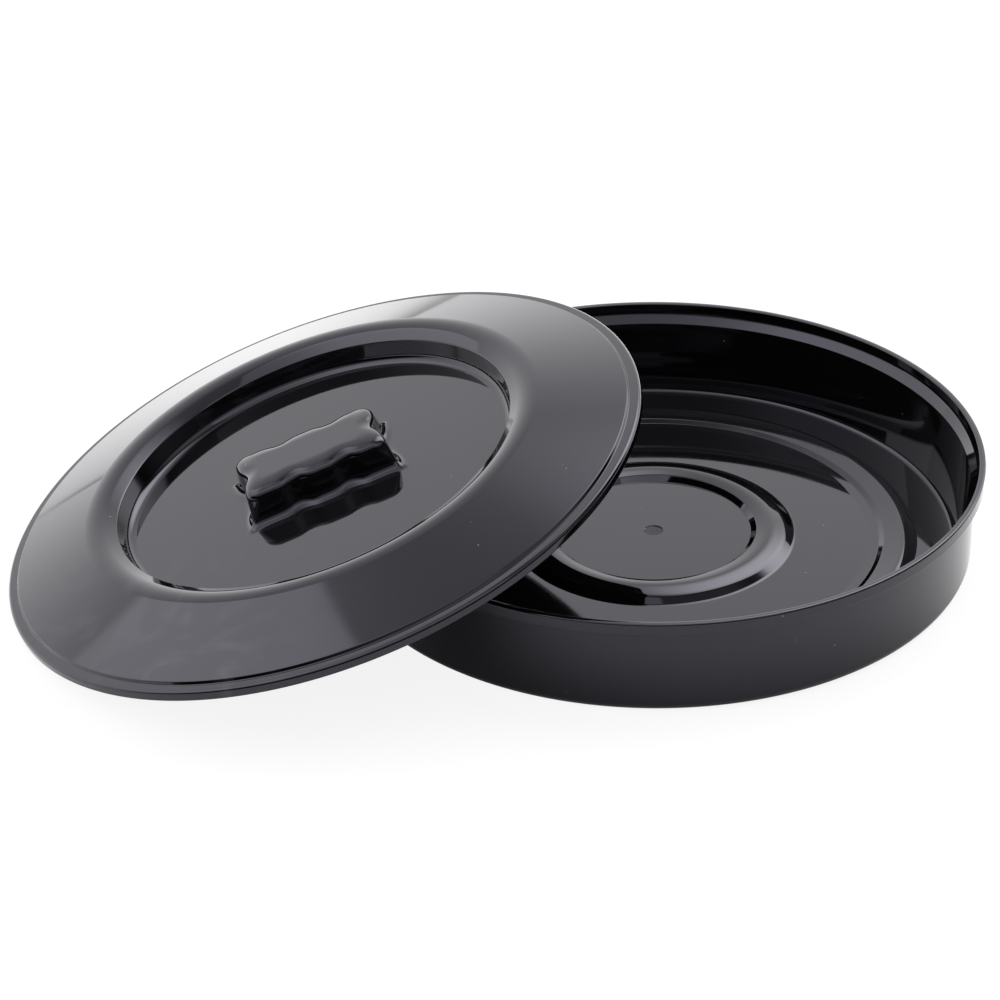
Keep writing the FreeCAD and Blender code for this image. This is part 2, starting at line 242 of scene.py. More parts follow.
class StageSizes(PropertyGroup):
    """Camera, lamps and table."""
    azimuth: angle("Azimuth", "Camera's turn round the pan", -8.0)
    elevation: angle("Elevation", "Camera's height above the table", 30.0629)
    roll: angle("Roll", "Camera's roll", -1.3636)
    distance: length("Distance", "Camera to the middle of the pan", 987.8)
    aim_right: length("Aim right", "Camera's shift to the right", -47.29)
    aim_up: length("Aim up", "Camera's shift upwards", 11.42)
    lens: level("Lens", "Focal length in millimetres", 115.279)
    table: length("Table", "Side of the table", 3000.0)
    table_front: length("Table front", "Pan's axis to the front edge of the table", 450.0)
    table_glow: share("Table glow", "Share of the table's white that no shadow takes", 0.85)
    backdrop: level("Backdrop", "Brightness of the white behind the stage, at the table", 1.9)
    backdrop_high: level("High backdrop", "Brightness of the white behind, well above the stage", 1.4)
    behind_edge: angle("Backdrop, edge", "Turn of its right edge from the back", 74.0)
    zenith: share("Zenith", "Share of that brightness that is left straight overhead", 0.45)
    front: level("Front", "Brightness high up on the camera's side", 1.1)
    # The sweep is a painted glow: the flat table glows in reflections, more towards the back; nothing rises
    # there.
    sweep: level("Sweep", "Further brightness of the table where it rises to the backdrop", 0.68)
    room: level("Room", "Brightness of the room's own soft light", 0.3)
    left_low: level("Left soft box, low", "Brightness of its lower part", 2.1)
    left_high: level("Left soft box, high", "Brightness of its upper part", 2.9)
    left_edge: angle("Left soft box, edge", "Turn of its right edge from the back", -43.5)
    right_box: level("Right soft box", "Brightness of its middle", 4.4)
    right_turn: angle("Right soft box, turn", "Turn of its middle from the back", 57.0)
    right_rise: angle("Right soft box, rise", "Height of its middle above the table", 50.0)
    right_edge: angle("Right soft box, edge", "Turn of its right edge from the back", 69.0)
    left_lamp_turn: angle("Left lamp, turn", "Turn of the left lamp from the back", -92.0)
    left_lamp_rise: angle("Left lamp, rise", "Height of the left lamp above the table", 38.0)
    left_lamp_away: length("Left lamp, distance", "Middle of the stage to the left lamp", 800.0)
    left_lamp_wide: length("Left lamp, width", "Width of the left lamp", 2300.0)
    left_lamp_tall: length("Left lamp, height", "Height of the left lamp's face", 1000.0)
    left_lamp_face: level("Left lamp, brightness", "Brightness of the left lamp's face", 1.7)
    right_lamp_away: length("Right lamp, distance", "Middle of the stage to the right lamp", 950.0)
    right_lamp_wide: length("Right lamp, width", "Width of the right lamp", 1200.0)
    right_lamp_tall: length("Right lamp, height", "Height of the right lamp's face", 950.0)
    right_lamp_face: level("Right lamp, brightness", "Brightness of the right lamp's face", 3.6)


# ---- modelling by hand --------------------------------------------------------
def deselect():
    """Leave edit mode and let go of everything."""
    if bpy.context.mode != "OBJECT":
        bpy.ops.object.mode_set(mode="OBJECT")
    bpy.ops.object.select_all(action="DESELECT")


def unit(a, b):
    """Unit vector from a to b in the outline's plane."""
    dx = b[0] - a[0]
    dz = b[1] - a[1]
    size = math.hypot(dx, dz)
    return dx / size, dz / size


def rounding_at(before, corner, after):
    """Start, centre and signed sweep of the arc that rounds a corner (radius, height, rounding)."""
    u = unit(corner, before)
    v = unit(corner, after)
    half = 0.5 * math.acos(u[0] * v[0] + u[1] * v[1])
    away = corner[2] / math.sin(half) / math.hypot(u[0] + v[0], u[1] + v[1])
    centre = (corner[0] + (u[0] + v[0]) * away, corner[1] + (u[1] + v[1]) * away)
    reach = corner[2] / math.tan(half)
    start = (corner[0] + u[0] * reach, corner[1] + u[1] * reach)
    sweep = math.copysign(math.pi - 2 * half, u[1] * v[0] - u[0] * v[1])
    return start, centre, sweep


def draw_outline(name, corners):
    """Draw a half outline in the XZ plane: straight pulls of one vertex, and arcs spun from it."""
    deselect()
    pen = corners[0]
    bpy.ops.mesh.primitive_plane_add(size=MM, location=(pen[0], 0, pen[1]))
    obj = bpy.context.active_object
    obj.name = obj.data.name = name
    bpy.ops.object.transform_apply(location=True)
    bpy.ops.object.mode_set(mode="EDIT")
    bpy.ops.mesh.select_mode(type="VERT")
    bpy.ops.mesh.select_all(action="SELECT")
    bpy.ops.mesh.merge(type="CENTER")
    for i, corner in enumerate(corners[1:], 1):
        rounded = len(corner) == 3
        if rounded:
            stop, centre, sweep = rounding_at(corners[i - 1], corner, corners[i + 1])
        else:
            stop = corner
        pull = (stop[0] - pen[0], 0, stop[1] - pen[1])
        bpy.ops.mesh.extrude_vertices_move(TRANSFORM_OT_translate={"value": pull})
        pen = stop
        if rounded:
            bpy.ops.mesh.spin(steps=max(2, math.ceil(abs(sweep) / ARC_STEP)), angle=sweep,
                              center=(centre[0], 0, centre[1]), axis=(0, 1, 0))
            dx = pen[0] - centre[0]
            dz = pen[1] - centre[1]
            pen = (centre[0] + dx * math.cos(sweep) - dz * math.sin(sweep),
                   centre[1] + dx * math.sin(sweep) + dz * math.cos(sweep))
    return obj


def spin_round(obj):
    """Spin the drawn outline once round the Z axis."""
    bpy.ops.mesh.select_all(action="SELECT")
    bpy.ops.mesh.spin(steps=TURN_STEPS, angle=2 * math.pi, center=(0, 0, 0), axis=(0, 0, 1))
    bpy.ops.mesh.select_all(action="SELECT")
    bpy.ops.mesh.remove_doubles(threshold=MERGE)
    bpy.ops.object.mode_set(mode="OBJECT")
    return obj


def pull_rings(name, rings, close_end):
    """Start from a circle and pull it through the rings, each a closed run of TURN_STEPS spots."""
    deselect()
    bpy.ops.mesh.primitive_circle_add(vertices=TURN_STEPS, radius=MM, fill_type="NOTHING")
    obj = bpy.context.active_object
    obj.name = obj.data.name = name
    bpy.ops.object.mode_set(mode="EDIT")
    bpy.ops.mesh.select_mode(type="VERT")
    bpy.ops.mesh.select_all(action="SELECT")
    place_of = {}
    for n, ring in enumerate(rings):
        if n:
            bpy.ops.mesh.extrude_region_move()
        bm = bmesh.from_edit_mesh(obj.data)
        bm.verts.ensure_lookup_table()
        fresh = {}
        for vert in bm.verts:
            if vert.select:
                if n:
                    partners = (edge.other_vert(vert).index for edge in vert.link_edges)
                    fresh[vert.index] = next(place_of[k] for k in partners if k in place_of)
                else:
                    fresh[vert.index] = vert.index
        for index, place in fresh.items():
            bm.verts[index].co = Vector(ring[place])
        place_of = fresh
        bmesh.update_edit_mesh(obj.data)
    if close_end:
        bpy.ops.mesh.edge_face_add()
    bpy.ops.object.mode_set(mode="OBJECT")
    return obj


def fill_between(obj, height):
    """Fill the flat ring between the two open loops that lie at one height."""
    bpy.ops.object.mode_set(mode="EDIT")
    bpy.ops.mesh.select_mode(type="EDGE")
    bpy.ops.mesh.select_all(action="DESELECT")
    bm = bmesh.from_edit_mesh(obj.data)
    for edge in bm.edges:
        level_edge = all(abs(vert.co.z - height) < SAME_LEVEL for vert in edge.verts)
        edge.select_set(edge.is_boundary and level_edge)
    bmesh.update_edit_mesh(obj.data)
    bpy.ops.mesh.fill(use_beauty=True)
    bpy.ops.object.mode_set(mode="OBJECT")


def finish_shell(obj):
    """Turn faces outwards, smooth the roundings and keep the flat faces flat."""
    deselect()
    obj.select_set(True)
    bpy.context.view_layer.objects.active = obj
    bpy.ops.object.mode_set(mode="EDIT")
    bpy.ops.mesh.select_all(action="SELECT")
    bpy.ops.mesh.normals_make_consistent(inside=False)
    bpy.ops.object.mode_set(mode="OBJECT")
    bm = bmesh.new()
    bm.from_mesh(obj.data)
    open_edges = sum(1 for edge in bm.edges if not edge.is_manifold)
    bm.free()
    if open_edges:
        raise RuntimeError(obj.name + " isn't closed: " + str(open_edges) + " open edges")
    bpy.ops.object.shade_smooth_by_angle(angle=SHARP_ANGLE)
    weigh = obj.modifiers.new("keep flats flat", "WEIGHTED_NORMAL")
    weigh.mode = "FACE_AREA"
    weigh.weight = FLAT_WEIGHT
    weigh.keep_sharp = True
    bpy.ops.object.modifier_apply(modifier=weigh.name)


# ---- pan ------------------------------------------------------------------------
def pan_corners(s):
    """Half outline of the pan, from the underside's middle round the rim to the floor's middle."""
    wall_out_r = s.rim_r - s.band_w
    band_low = s.height - s.band_h
    crown_in_r = s.rim_r - s.crown_w
    crown_edge = s.height - s.crown_rise
    step_low = s.height - s.step_h
    wall_in_r = crown_in_r - s.funnel_w
    foot_in_r = wall_in_r - s.draft_in
    top = s.skin
    gutter = top - s.gutter_drop
    under = [
        (0.0, s.disc_rise),
        (s.bead_in_r - s.under_bead_w, s.disc_rise, s.under_bead_round),
        (s.bead_in_r, s.under_bead_h, s.under_bead_round),
        (s.bead_brow_r, s.under_bead_h, s.under_bead_round),
        (s.bead_out_r, 0.0, s.under_foot_round),
        (wall_out_r - s.draft_out, 0.0, s.foot_round),
    ]
    rim = [
        (wall_out_r, band_low, s.band_root_round),
        (s.rim_r, band_low + s.band_slope, s.band_round),
        (s.rim_r, crown_edge, s.rim_round),
        (0.5 * (s.rim_r + crown_in_r), s.height, s.crown_round),
        (crown_in_r, crown_edge, s.crown_in_round),
        (crown_in_r, step_low, s.step_round),
        (wall_in_r, step_low - s.funnel_h, s.funnel_round),
    ]
    disc = top + s.disc_rise
    floor = [
        (foot_in_r, gutter, s.well_round),
        (s.terrace_r + s.terrace_back_w, gutter, s.terrace_back_round),
        (s.terrace_r, top + s.terrace_rise, s.terrace_round),
        (s.riser_r, top + s.riser_rise, s.riser_round),
        (s.riser_r - s.riser_w, top + s.apron_rise, s.riser_foot_round),
        (s.riser_r - s.riser_w - s.apron_w, top, s.apron_round),
        (s.bead_out_r, top, s.bead_foot_round),
        (s.bead_brow_r, top + s.bead_brow_h, s.bead_brow_round),
        (s.bead_top_r, top + s.bead_rise, s.bead_top_round),
        (s.bead_in_r + s.bead_toe_w, top + s.bead_toe_h, s.bead_toe_round),
        (s.bead_in_r, disc, s.disc_round),
        (s.gate_r, disc, s.gate_round),
        (s.gate_r - s.gate_bevel, disc - s.gate_depth, s.gate_round),
        (0.0, disc - s.gate_depth),
    ]
    return under + rim + floor


class WARMER_OT_pan(Operator):
    """Model the pan: ringed floor, tapered wall and stepped rim in one moulding"""
    bl_idname = "warmer.make_pan"
    bl_label = "Make the pan"

    def execute(self, context):
        s = context.scene.warmer_pan
        pan = draw_outline("pan_shell", pan_corners(s))
        spin_round(pan)
        finish_shell(pan)
        dress(pan, context.scene.warmer_finish, s.gate_r)
        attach(pan, "pan")
        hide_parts("pan")
        return {"FINISHED"}


# ---- lid ------------------------------------------------------------------------
JOIN_R = 40.0 * MM        # where the spun dish floor meets the flat round the grip


def height_on(a, b, radius):
    """Height at a radius on the straight line through a and b."""
    return a[1] + (b[1] - a[1]) * (radius - a[0]) / (b[0] - a[0])


def lid_corners(s):
    """Half outline of the lid, from its dish floor out over the edge and back underneath."""
    ledge_in_r = s.edge_r - s.ledge_w
    slope = math.atan2(s.crest_h - s.ledge_rise, ledge_in_r - s.crest_r)
    drop = s.wall / math.cos(slope)
    crest = (s.crest_r, s.crest_h - drop)
    ledge = (ledge_in_r, s.ledge_rise - drop)
    brow = (s.brow_r, s.brow_h - drop)
    throat_r = s.brow_r + s.wall
    root_r = s.lip_out_r - s.lip_t
    low = -s.skirt_h - s.lip_h
    under = s.dish_h - s.dish_t
    upper = [
        (JOIN_R, s.dish_h),
        (s.dish_r, s.dish_h, s.dish_round),
        (s.brow_r, s.brow_h, s.brow_round),
        (s.crest_r, s.crest_h, s.crest_round),
        (ledge_in_r, s.ledge_rise, s.ledge_round),
        (ledge_in_r + s.ledge_step_w, s.ledge_rise - s.ledge_step_h, s.ledge_foot_round),
        (s.edge_r, 0.0, s.edge_round),
        (s.edge_r, -s.skirt_h, s.skirt_round),
    ]
    lower = [
        (s.lip_out_r, -s.skirt_h, s.lip_root_round),
        (s.lip_out_r - s.lip_draft, low, s.lip_round),
        (root_r - s.lip_draft, low, s.lip_round),
        (root_r, height_on(crest, ledge, root_r), s.lip_in_round),
        (crest[0], crest[1], s.under_crest_round),
        (throat_r, height_on(brow, crest, throat_r), s.throat_round),
        (s.dish_r + s.wall, under, s.under_round),
        (JOIN_R, under),
    ]
    return upper + lower


def line_spots(a, b, steps):
    """Spots along a straight line, its end left out."""
    return [(a[0] + (b[0] - a[0]) * i / steps, a[1] + (b[1] - a[1]) * i / steps)
            for i in range(steps)]


FLUTE_SHOULDER = 7        # spots along the parts of the grip's outline
FLUTE_BOTTOM = 6
GRIP_CORNER = 12
GRIP_LINE = 12


def flute_spots(s, place, half_w, depth):
    """(along, inward) spots across one flute: shoulder, hollow bottom, shoulder."""
    turn = 2 * math.atan(depth / half_w)
    both = half_w / math.sin(turn)
    bottom = s.flute_bottom * both
    shoulder = both - bottom
    spots = []
    for i in range(FLUTE_SHOULDER):
        a = turn * i / FLUTE_SHOULDER
        spots.append((place - half_w + shoulder * math.sin(a), shoulder * (1 - math.cos(a))))
    for i in range(FLUTE_BOTTOM):
        a = turn * (2 * i / FLUTE_BOTTOM - 1)
        spots.append((place + bottom * math.sin(a), depth - bottom * (1 - math.cos(a))))
    for i in range(FLUTE_SHOULDER):
        a = turn * (1 - i / FLUTE_SHOULDER)
        spots.append((place + half_w - shoulder * math.sin(a), shoulder * (1 - math.cos(a))))
    return spots


def side_spots(s, half, reach, corner, flutes):
    """One side of the outline and the corner after it, as if the side faced +X."""
    spots = []
    pen = (reach, -half)
    for place, half_w, depth in flutes:
        across = flute_spots(s, place, half_w, depth)
        spots.extend(line_spots(pen, (reach, place - half_w), GRIP_LINE))
        spots.extend((reach - inward, along) for along, inward in across)
        pen = (reach, place + half_w)
    spots.extend(line_spots(pen, (reach, half), GRIP_LINE))
    for i in range(GRIP_CORNER):
        a = 0.5 * math.pi * i / GRIP_CORNER
        spots.append((reach - corner + corner * math.cos(a), half + corner * math.sin(a)))
    return spots


def grip_ring(s, inset, corner, depth_share, end_share, height):
    """Closed ring: an oblong shrunk by the inset, with shares of the flutes' depths."""
    half_l = s.half_l - inset
    half_w = s.half_w - inset
    end = [(0.0, s.end_flute_w * (half_w - corner), end_share * s.end_flute_depth)]
    ring = []
    for quarter in range(4):
        if quarter % 2 == 0:
            spots = side_spots(s, half_w - corner, half_l, corner, end)
        else:
            shift = s.flute_shift if quarter == 3 else -s.flute_shift
            wide = min(s.flute_w, half_l - corner - s.flute_at - s.flute_shift - s.cap_rim)
            long = [(place + shift, wide, depth_share * s.flute_depth)
                    for place in (-s.flute_at, s.flute_at)]
            spots = side_spots(s, half_l - corner, half_w, corner, long)
        turn = 0.5 * math.pi * quarter
        for x, y in spots:
            ring.append((x * math.cos(turn) - y * math.sin(turn),
                         x * math.sin(turn) + y * math.cos(turn), height))
    return ring


def grip_rings(s, base):
    """Rings of the grip, from the foot's rounding in the dish floor to the top."""
    rings = []
    foot_steps = 9
    for i in range(foot_steps + 1):
        a = 0.5 * math.pi * i / foot_steps
        out = s.foot_round * (1 - math.sin(a))
        up = s.foot_round * (1 - math.cos(a))
        keep = s.flute_foot + (1 - s.flute_foot) * math.sin(a)
        rings.append(grip_ring(s, -out, s.corner_foot, keep, keep, base + up))
    crown_w = s.crown * math.sin(s.crown_turn)
    crown_h = s.crown * (1 - math.cos(s.crown_turn))
    shoulder_h = s.shoulder * math.cos(s.crown_turn)
    wall_top = s.height - crown_h - shoulder_h
    lean_in = (wall_top - s.foot_round) * s.draft
    profile = []
    shoulder_steps = 10
    for i in range(shoulder_steps + 1):
        a = (0.5 * math.pi - s.crown_turn) * i / shoulder_steps
        profile.append((s.shoulder * (1 - math.cos(a)), wall_top + s.shoulder * math.sin(a)))
    shoulder_w = profile[-1][0]
    crown_steps = 8
    for i in range(1, crown_steps + 1):
        a = s.crown_turn * (1 - i / crown_steps)
        inset = shoulder_w + crown_w - s.crown * math.sin(a)
        profile.append((inset, s.height - s.crown * (1 - math.cos(a))))
    full = shoulder_w + crown_w
    profile.append((full + s.cap_rim, s.height))
    for inset, height in profile:
        part = min(inset / full, 1.0)
        corner = s.corner_top - s.corner_fall * inset
        keep = 1 - s.flute_fade * part ** 2
        end_keep = (1 - s.end_fade) * (1 - s.flute_fade * part)
        rings.append(grip_ring(s, lean_in + inset, corner, keep, end_keep, base + height))
    return rings


def oblong_ring(half_l, half_w, corner, height):
    """Closed ring of a rectangle with round corners."""
    eighth = TURN_STEPS // 8
    ring = []
    for quarter in range(4):
        half, reach = (half_w - corner, half_l) if quarter % 2 == 0 else (half_l - corner, half_w)
        spots = line_spots((reach, -half), (reach, half), eighth)
        for i in range(eighth):
            a = 0.5 * math.pi * i / eighth
            spots.append((reach - corner + corner * math.cos(a), half + corner * math.sin(a)))
        turn = 0.5 * math.pi * quarter
        for x, y in spots:
            ring.append((x * math.cos(turn) - y * math.sin(turn),
                         x * math.sin(turn) + y * math.cos(turn), height))
    return ring


def hollow_rings(s, base, under):
    """Rings of the grip's hollow, from its mouth under the dish to its roof."""
    half_l = s.half_l - s.end_flute_depth - s.hollow_wall
    half_w = s.half_w - s.flute_depth - s.hollow_wall
    roof = base + s.height - s.hollow_wall
    rings = []
    steps = 6
    for i in range(steps + 1):
        a = 0.5 * math.pi * i / steps
        out = s.hollow_mouth * (1 - math.sin(a))
        up = s.hollow_mouth * (1 - math.cos(a))
        rings.append(oblong_ring(half_l + out, half_w + out, s.hollow_corner + out, under + up))
    for i in range(steps + 1):
        a = 0.5 * math.pi * i / steps
        shrink = s.hollow_round * (1 - math.cos(a))
        height = roof - s.hollow_round * (1 - math.sin(a))
        rings.append(oblong_ring(half_l - shrink, half_w - shrink, s.hollow_corner, height))
    return rings


class WARMER_OT_lid(Operator):
    """Model the lid: edge, flange, crest, dish and hollow fluted grip in one moulding"""
    bl_idname = "warmer.make_lid"
    bl_label = "Make the lid"

    def execute(self, context):
        s = context.scene.warmer_lid
        g = context.scene.warmer_grip
        under = s.dish_h - s.dish_t
        lid = draw_outline("lid_shell", lid_corners(s))
        spin_round(lid)
        grip = pull_rings("grip", grip_rings(g, s.dish_h), True)
        hollow = pull_rings("hollow", hollow_rings(g, s.dish_h, under), True)
        deselect()
        for part in (grip, hollow):
            part.data.transform(Matrix.Rotation(g.turn, 4, "Z"))
        for part in (grip, hollow, lid):
            part.select_set(True)
        context.view_layer.objects.active = lid
        bpy.ops.object.join()
        fill_between(lid, s.dish_h)
        fill_between(lid, under)
        lid.rotation_euler = (0, -s.lean, 0)
        lid.location = (s.centre_x, s.centre_y, s.centre_z)
        bpy.ops.object.transform_apply(location=True, rotation=True, scale=True)
        finish_shell(lid)
        dress(lid, context.scene.warmer_finish)
        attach(lid, "lid")
        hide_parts("lid")
        return {"FINISHED"}


# ---- plastic --------------------------------------------------------------------
HAZE_SCALE = 38.0           # sizes of the noises, in rounds to the metre
WAVE_SCALE = 22.0
SKIN_SCALE = 1500.0
STREAK_SCALE = 26.0
SPECK_SCALE = 170.0
HAZE_DETAIL = 4.0
WAVE_DETAIL = 1.0
SKIN_DETAIL = 2.0
STREAK_DETAIL = 3.0
STREAK_CURL = 3.0
HAZE_SPAN = (0.35, 0.75)    # noise from clear to hazy
STREAK_SPAN = (0.5, 0.72)   # noise from clear to marked
SPECK_CHANCE = (0.80, 0.81)     # cells above this hold a speck
SPECK_EDGE = (0.02, 0.05)       # share of a cell from a speck's middle to past its edge
MARKS_ALONG = (-0.105, -0.145)  # the flow marks come in over these places, in metres
MARKS_ACROSS = (-0.01, -0.055)


def ramp(tree, source, span, first, last, kind="SMOOTHSTEP"):
    """A step of a value over a span, from first to last and held past both."""
    node = tree.nodes.new("ShaderNodeMapRange")
    node.interpolation_type = kind
    settings = (("From Min", span[0]), ("From Max", span[1]), ("To Min", first), ("To Max", last))
    for name, value in settings:
        node.inputs[name].default_value = value
    tree.links.new(source, node.inputs["Value"])
    return node.outputs["Result"]


def slope(tree, source, span, first, last):
    """The same with a straight run."""
    return ramp(tree, source, span, first, last, "LINEAR")


def pair_up(tree, operation, a, b):
    """Two values joined by an operation."""
    node = tree.nodes.new("ShaderNodeMath")
    node.operation = operation
    tree.links.new(a, node.inputs[0])
    tree.links.new(b, node.inputs[1])
    return node.outputs["Value"]


def product(tree, a, b):
    """Two values multiplied."""
    return pair_up(tree, "MULTIPLY", a, b)


def noise(tree, coords, scale, detail, distortion=0.0):
    """Noise over the object's own coordinates."""
    node = tree.nodes.new("ShaderNodeTexNoise")
    node.inputs["Scale"].default_value = scale
    node.inputs["Detail"].default_value = detail
    node.inputs["Distortion"].default_value = distortion
    tree.links.new(coords, node.inputs["Vector"])
    return node.outputs["Fac"]


def bump(tree, height, distance, before=None):
    """A bump of a given height over the normal that comes before it."""
    node = tree.nodes.new("ShaderNodeBump")
    node.inputs["Strength"].default_value = 1.0
    node.inputs["Distance"].default_value = distance
    tree.links.new(height, node.inputs["Height"])
    if before:
        tree.links.new(before, node.inputs["Normal"])
    return node.outputs["Normal"]


def blend(tree, factor, first, colour):
    """A colour, or another one's output, mixed with a second colour by a factor."""
    node = tree.nodes.new("ShaderNodeMix")
    node.data_type = "RGBA"
    if isinstance(first, tuple):
        node.inputs["A"].default_value = first
    else:
        tree.links.new(first, node.inputs["A"])
    node.inputs["B"].default_value = (*colour, 1)
    tree.links.new(factor, node.inputs["Factor"])
    return node.outputs["Result"]


def dull_gate(tree, split, s, rough, gate_r):
    """Roughness with the dull sprue mark in the middle of the pan."""
    flat = tree.nodes.new("ShaderNodeCombineXYZ")
    tree.links.new(split.outputs["X"], flat.inputs["X"])
    tree.links.new(split.outputs["Y"], flat.inputs["Y"])
    from_axis = tree.nodes.new("ShaderNodeVectorMath")
    from_axis.operation = "LENGTH"
    tree.links.new(flat.outputs["Vector"], from_axis.inputs[0])
    edge = gate_r - s.gate_margin
    dull = slope(tree, from_axis.outputs["Value"], (edge - s.gate_fade, edge), s.gate_dull, 0.0)
    return pair_up(tree, "MAXIMUM", rough, dull)


def flow_marks(tree, coords, split):
    """Where the faint flow marks show, on the lid's low near side."""
    fog = noise(tree, coords, STREAK_SCALE, STREAK_DETAIL, STREAK_CURL)
    streaks = slope(tree, fog, STREAK_SPAN, 0.0, 1.0)
    low_side = slope(tree, split.outputs["X"], MARKS_ALONG, 0.0, 1.0)
    near_side = slope(tree, split.outputs["Y"], MARKS_ACROSS, 0.0, 1.0)
    return product(tree, product(tree, low_side, near_side), streaks)


def dust_specks(tree, coords):
    """Where a few specks of dust lie."""
    cells = tree.nodes.new("ShaderNodeTexVoronoi")
    cells.inputs["Scale"].default_value = SPECK_SCALE
    tree.links.new(coords, cells.inputs["Vector"])
    chance = tree.nodes.new("ShaderNodeSeparateColor")
    tree.links.new(cells.outputs["Color"], chance.inputs["Color"])
    picked = slope(tree, chance.outputs["Red"], SPECK_CHANCE, 0.0, 1.0)
    speck = slope(tree, cells.outputs["Distance"], SPECK_EDGE, 1.0, 0.0)
    return product(tree, picked, speck)


def dress(obj, s, gate_r=None):
    """Polished black plastic; a gate radius gives the pan's sprue mark, none the lid's flow marks."""
    mat = bpy.data.materials.new("black_plastic_" + ("pan" if gate_r else "lid"))
    mat.use_nodes = True
    tree = mat.node_tree
    link = tree.links.new
    shader = tree.nodes["Principled BSDF"]
    shader.inputs["IOR"].default_value = s.index
    shader.inputs["Specular Tint"].default_value = (*s.tint, 1)
    coords = tree.nodes.new("ShaderNodeTexCoord").outputs["Object"]
    split = tree.nodes.new("ShaderNodeSeparateXYZ")
    link(coords, split.inputs["Vector"])

    rough = slope(tree, noise(tree, coords, HAZE_SCALE, HAZE_DETAIL), HAZE_SPAN,
                  s.gloss, s.gloss + s.haze)
    colour = (*s.colour, 1)
    if gate_r:
        rough = dull_gate(tree, split, s, rough, gate_r)
    else:
        colour = blend(tree, flow_marks(tree, coords, split), colour, s.mark_colour)
    link(rough, shader.inputs["Roughness"])
    link(blend(tree, dust_specks(tree, coords), colour, s.dust_colour), shader.inputs["Base Color"])

    waves = bump(tree, noise(tree, coords, WAVE_SCALE, WAVE_DETAIL), s.ripple)
    skin = bump(tree, noise(tree, coords, SKIN_SCALE, SKIN_DETAIL), s.grain, waves)
    link(skin, shader.inputs["Normal"])
    obj.data.materials.clear()
    obj.data.materials.append(mat)


# ---- stage ----------------------------------------------------------------------
TABLE_WHITE = 0.9
TABLE_LIGHT = 1.03              # brightness of the table's white where the camera sees it
TABLE_DROP = 0.2 * MM           # keeps the table clear of what stands on it
SENSOR_W = 36.0                 # camera, in millimetres
CLOSEST = 0.01
FARTHEST = 50.0

# Spans over which the light changes: places on the table in metres, or parts of a unit ray.
PAINTED_GLOW_SPAN = (-0.1, 0.08)       # along the flat table, over which its painted glow grows towards the back
BACKDROP_SPAN = (0.1, 0.8)      # upwards, behind the stage
FRONT_SPAN = (0.25, 0.75)       # upwards, on the camera's side
LEFT_BOX_SPAN = (0.3, 0.7)      # upwards, in the left soft box
ZENITH_SPAN = (0.8, 0.98)       # upwards, to straight overhead
TURN_SPAN = (-0.25, 0.3)        # from the camera's side to the back
BEHIND_EDGE_SPAN = (0.0, 0.2)   # past the backdrop's edge
LEFT_EDGE_SPAN = (0.0, 0.015)   # past the left soft box's edge
RIGHT_EDGE_SPAN = (0.0, 0.08)   # past the right soft box's edge
RIGHT_BOX_SPAN = (0.82, 0.985)  # from the right soft box's rim to its middle
LOW_FRONT_SPAN = (-0.1, 0.25)   # out of the dark low in front
OUT_OF_LOW_FRONT = Vector((0, 0.8, 0.6))


def seen_directly(tree):
    """Two factors: where the camera sees a surface, straight or through glass, and where gloss does."""
    path = tree.nodes.new("ShaderNodeLightPath")
    direct = pair_up(tree, "MAXIMUM", path.outputs["Is Camera Ray"], path.outputs["Is Transmission Ray"])
    return direct, path.outputs["Is Glossy Ray"]


def mix_shaders(tree, factor, first, second):
    """Two shaders mixed by a factor, which is a number or another node's output."""
    node = tree.nodes.new("ShaderNodeMixShader")
    if isinstance(factor, float):
        node.inputs["Fac"].default_value = factor
    else:
        tree.links.new(factor, node.inputs["Fac"])
    tree.links.new(first, node.inputs[1])
    tree.links.new(second, node.inputs[2])
    return node.outputs["Shader"]


def mix_levels(tree, factor, first, second):
    """Two values mixed by a factor."""
    node = tree.nodes.new("ShaderNodeMix")
    tree.links.new(factor, node.inputs["Factor"])
    tree.links.new(first, node.inputs["A"])
    tree.links.new(second, node.inputs["B"])
    return node.outputs["Result"]


def lay_table(s):
    """A plain white table that keeps a faint shadow; in reflections it also has a painted glow that grows
    towards the back.
    """
    deselect()
    middle = 0.5 * s.table - s.table_front
    bpy.ops.mesh.primitive_plane_add(size=s.table, location=(0, middle, -TABLE_DROP))
    table = bpy.context.active_object
    table.name = "table"
    bpy.ops.object.transform_apply(location=True)
    mat = bpy.data.materials.new("white_table")
    mat.use_nodes = True
    tree = mat.node_tree
    tree.nodes.clear()
    add = tree.nodes.new
    link = tree.links.new
    paint = add("ShaderNodeBsdfDiffuse")
    paint.inputs["Color"].default_value = (TABLE_WHITE, TABLE_WHITE, TABLE_WHITE, 1)
    glow = add("ShaderNodeEmission")
    glow.inputs["Strength"].default_value = TABLE_LIGHT
    shown = mix_shaders(tree, s.table_glow, paint.outputs["BSDF"], glow.outputs["Emission"])
    direct, glossy = seen_directly(tree)
    split = add("ShaderNodeSeparateXYZ")
    link(add("ShaderNodeTexCoord").outputs["Object"], split.inputs["Vector"])
    # Painted glow: emission seen only in reflections, growing along the flat table towards the back, in
    # place of light falling there.
    rise = ramp(tree, split.outputs["Y"], PAINTED_GLOW_SPAN, 0.0, s.sweep)
    sweep = add("ShaderNodeEmission")
    link(product(tree, rise, glossy), sweep.inputs["Strength"])
    lit_and_painted_glow = add("ShaderNodeAddShader")
    link(paint.outputs["BSDF"], lit_and_painted_glow.inputs[0])
    link(sweep.outputs["Emission"], lit_and_painted_glow.inputs[1])
    out = add("ShaderNodeOutputMaterial")
    link(mix_shaders(tree, direct, lit_and_painted_glow.outputs["Shader"], shown), out.inputs["Surface"])
    table.data.materials.append(mat)


def towards(turn, rise):
    """Unit vector at a turn from the back, to the right, and a rise above the table."""
    return Vector((math.sin(turn) * math.cos(rise), math.cos(turn) * math.cos(rise), math.sin(rise)))


